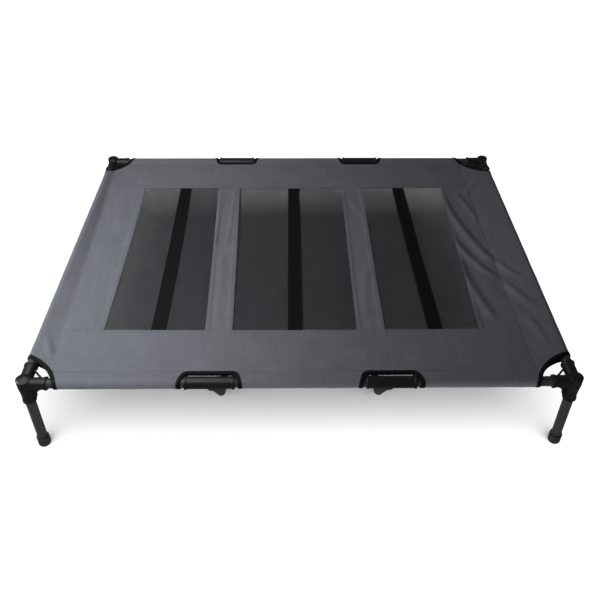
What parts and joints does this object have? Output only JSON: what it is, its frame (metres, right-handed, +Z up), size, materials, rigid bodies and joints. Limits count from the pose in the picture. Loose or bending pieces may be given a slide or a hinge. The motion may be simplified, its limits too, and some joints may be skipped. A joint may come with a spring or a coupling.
{
  "type": "raised pet cot",
  "caption": "Raised pet cot: black push-fit tube frame on splayed legs, stretched grey cover with mesh panels, webbing straps and taped cut-outs.",
  "frame": {"origin": "on the floor, under the middle of the bed", "axes": "+X along the long rails, +Y towards the rear long rail, +Z up"},
  "size_m": [1.2434, 0.9434, 0.229],
  "materials": {
    "connector_plastic": "moulded black nylon, fine satin",
    "black_steel": "black powder coat, satin",
    "foot_rubber": "matte black rubber",
    "woven_fabric": "coated woven polyester, grey",
    "mesh_fabric": "open vinyl-coated mesh, dark grey",
    "webbing": "ribbed black webbing",
    "binding_tape": "black binding tape"
  },
  "bodies": {
    "root": {"corner_connector_front_left": "connector_plastic", "corner_connector_front_right": "connector_plastic", "corner_connector_rear_left": "connector_plastic", "corner_connector_rear_right": "connector_plastic", "front_rail_left": "black_steel", "front_rail_middle": "black_steel", "front_rail_right": "black_steel", "rear_rail_left": "black_steel", "rear_rail_middle": "black_steel", "rear_rail_right": "black_steel", "side_rail_left": "black_steel", "side_rail_right": "black_steel", "mid_connector_front_left": "connector_plastic", "mid_connector_front_right": "connector_plastic", "mid_connector_rear_left": "connector_plastic", "mid_connector_rear_right": "connector_plastic", "support_bar_left": "black_steel", "support_bar_right": "black_steel", "sleeve_front": "woven_fabric", "sleeve_rear": "woven_fabric", "sleeve_left": "woven_fabric", "sleeve_right": "woven_fabric", "border_front": "woven_fabric", "border_rear": "woven_fabric", "border_left": "woven_fabric", "border_right": "woven_fabric", "column_left": "woven_fabric", "column_right": "woven_fabric", "mesh_left": "mesh_fabric", "mesh_middle": "mesh_fabric", "mesh_right": "mesh_fabric", "webbing_left": "webbing", "webbing_middle": "webbing", "webbing_right": "webbing", "corner_tape_front_left": "binding_tape", "corner_tape_front_right": "binding_tape", "corner_tape_rear_left": "binding_tape", "corner_tape_rear_right": "binding_tape", "mid_tape_front_left": "binding_tape", "mid_tape_front_right": "binding_tape", "mid_tape_rear_left": "binding_tape", "mid_tape_rear_right": "binding_tape"},
    "leg_front_left": {"leg_tube_front_left": "black_steel", "foot_front_left": "foot_rubber"},
    "leg_front_right": {"leg_tube_front_right": "black_steel", "foot_front_right": "foot_rubber"},
    "leg_rear_left": {"leg_tube_rear_left": "black_steel", "foot_rear_left": "foot_rubber"},
    "leg_rear_right": {"leg_tube_rear_right": "black_steel", "foot_rear_right": "foot_rubber"}
  },
  "joints": [
    {"name": "leg_pull_front_left", "type": "slide", "parent": "root", "child": "leg_front_left", "axis": [-0.0664, -0.0664, -0.9956], "range_m": [0, 0.045]},
    {"name": "leg_pull_front_right", "type": "slide", "parent": "root", "child": "leg_front_right", "axis": [0.0664, -0.0664, -0.9956], "range_m": [0, 0.045]},
    {"name": "leg_pull_rear_left", "type": "slide", "parent": "root", "child": "leg_rear_left", "axis": [-0.0664, 0.0664, -0.9956], "range_m": [0, 0.045]},
    {"name": "leg_pull_rear_right", "type": "slide", "parent": "root", "child": "leg_rear_right", "axis": [0.0664, 0.0664, -0.9956], "range_m": [0, 0.045]}
  ]
}
